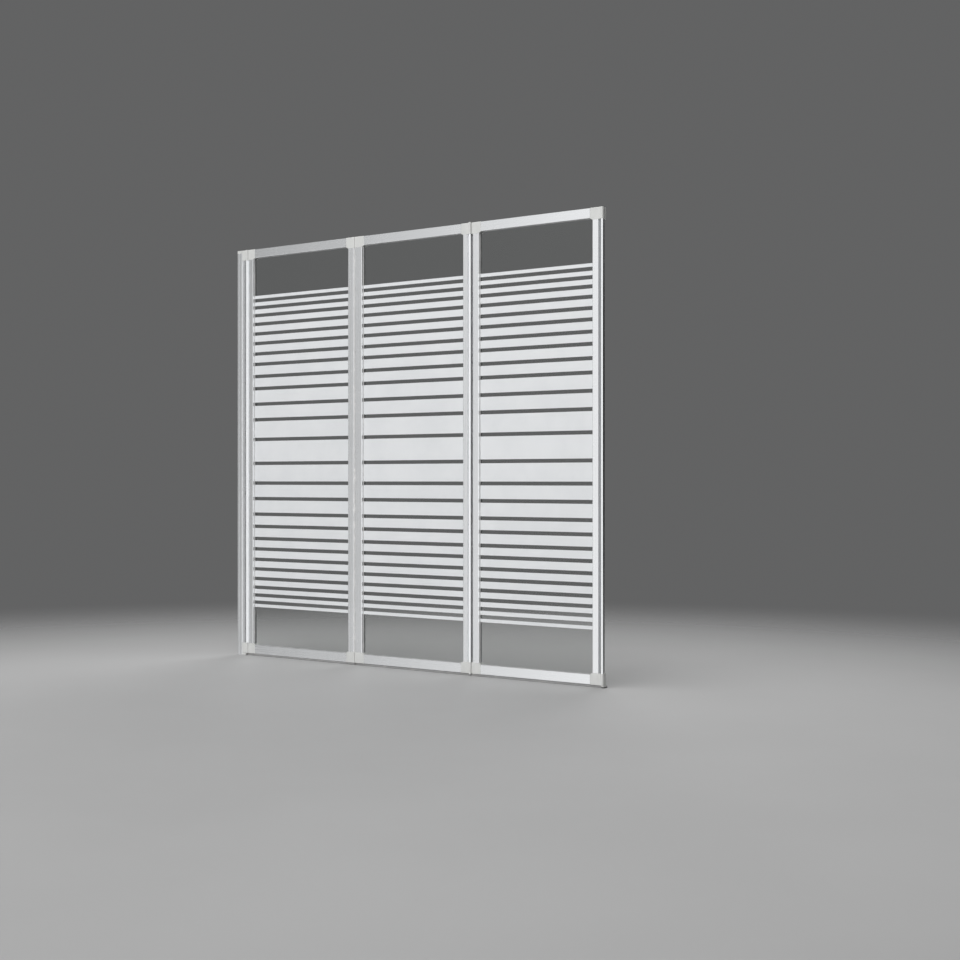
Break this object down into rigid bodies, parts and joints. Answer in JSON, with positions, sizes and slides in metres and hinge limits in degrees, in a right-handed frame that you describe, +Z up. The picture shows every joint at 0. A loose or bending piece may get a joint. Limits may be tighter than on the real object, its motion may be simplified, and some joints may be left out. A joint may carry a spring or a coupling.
{
  "type": "folding bath screen",
  "caption": "Folding bath screen: framed glass panels with printed cross stripes, hinged in a zigzag, that swing from an adjustable wall profile.",
  "frame": {"origin": "middle of the wall profile's back face at its lower end: x = 0 on the mounting face, y = 0 at mid-depth, z = 0 on the surface that the screen stands over", "axes": "+X along the unfolded screen away from the wall, +Y from the outer side to the shower side, +Z up"},
  "size_m": [1.27, 0.028, 1.2132],
  "materials": {
    "anodised_profile": "satin anodised silver",
    "cap_plastic": "fine moulded texture, light silver grey",
    "clear_glass": "clear, smooth",
    "stripe_print": "fired white print, slightly glossy",
    "glazing_rubber": "dark grey",
    "hinge_seal": "soft light grey",
    "bottom_seal": "soft dark grey",
    "foot_rubber": "black",
    "pin_steel": "stainless, ground"
  },
  "bodies": {
    "wall_frame": {"wall_profile": "anodised_profile", "wall_cap": "cap_plastic", "adjuster": "anodised_profile", "adjuster_cap_top": "cap_plastic", "adjuster_cap_bottom": "cap_plastic", "adjuster_screws": "pin_steel"},
    "panel1": {"panel1_stile_left": "anodised_profile", "panel1_stile_right": "anodised_profile", "panel1_rail_top": "anodised_profile", "panel1_rail_bottom": "anodised_profile", "panel1_cap_top_left": "cap_plastic", "panel1_cap_top_right": "cap_plastic", "panel1_cap_bottom_left": "cap_plastic", "panel1_cap_bottom_right": "cap_plastic", "panel1_glass": "clear_glass", "panel1_gasket": "glazing_rubber", "panel1_stripes": "stripe_print", "panel1_bottom_seal": "bottom_seal", "wall_hinge_pins": "pin_steel", "wall_hinge_seal": "hinge_seal", "middle_hinge_pins": "pin_steel", "middle_hinge_seal": "hinge_seal"},
    "panel2": {"panel2_stile_left": "anodised_profile", "panel2_stile_right": "anodised_profile", "panel2_rail_top": "anodised_profile", "panel2_rail_bottom": "anodised_profile", "panel2_cap_top_left": "cap_plastic", "panel2_cap_top_right": "cap_plastic", "panel2_cap_bottom_left": "cap_plastic", "panel2_cap_bottom_right": "cap_plastic", "panel2_glass": "clear_glass", "panel2_gasket": "glazing_rubber", "panel2_stripes": "stripe_print", "panel2_bottom_seal": "bottom_seal", "outer_hinge_pins": "pin_steel", "outer_hinge_seal": "hinge_seal"},
    "panel3": {"panel3_stile_left": "anodised_profile", "panel3_stile_right": "anodised_profile", "panel3_rail_top": "anodised_profile", "panel3_rail_bottom": "anodised_profile", "panel3_cap_top_left": "cap_plastic", "panel3_cap_top_right": "cap_plastic", "panel3_cap_bottom_left": "cap_plastic", "panel3_cap_bottom_right": "cap_plastic", "panel3_glass": "clear_glass", "panel3_gasket": "glazing_rubber", "panel3_stripes": "stripe_print", "panel3_bottom_seal": "bottom_seal", "panel3_end_trim": "anodised_profile", "panel3_foot": "foot_rubber"}
  },
  "joints": [
    {"name": "wall_hinge", "type": "hinge", "parent": "wall_frame", "child": "panel1", "pos_m": [0.04, -0.01, 0.609], "axis": [0, 0, -1], "range_deg": [0, 90]},
    {"name": "middle_hinge", "type": "hinge", "parent": "panel1", "child": "panel2", "pos_m": [0.456, 0.01, 0.609], "axis": [0, 0, 1], "range_deg": [0, 180]},
    {"name": "outer_hinge", "type": "hinge", "parent": "panel2", "child": "panel3", "pos_m": [0.858, -0.01, 0.609], "axis": [0, 0, -1], "range_deg": [0, 179]}
  ]
}
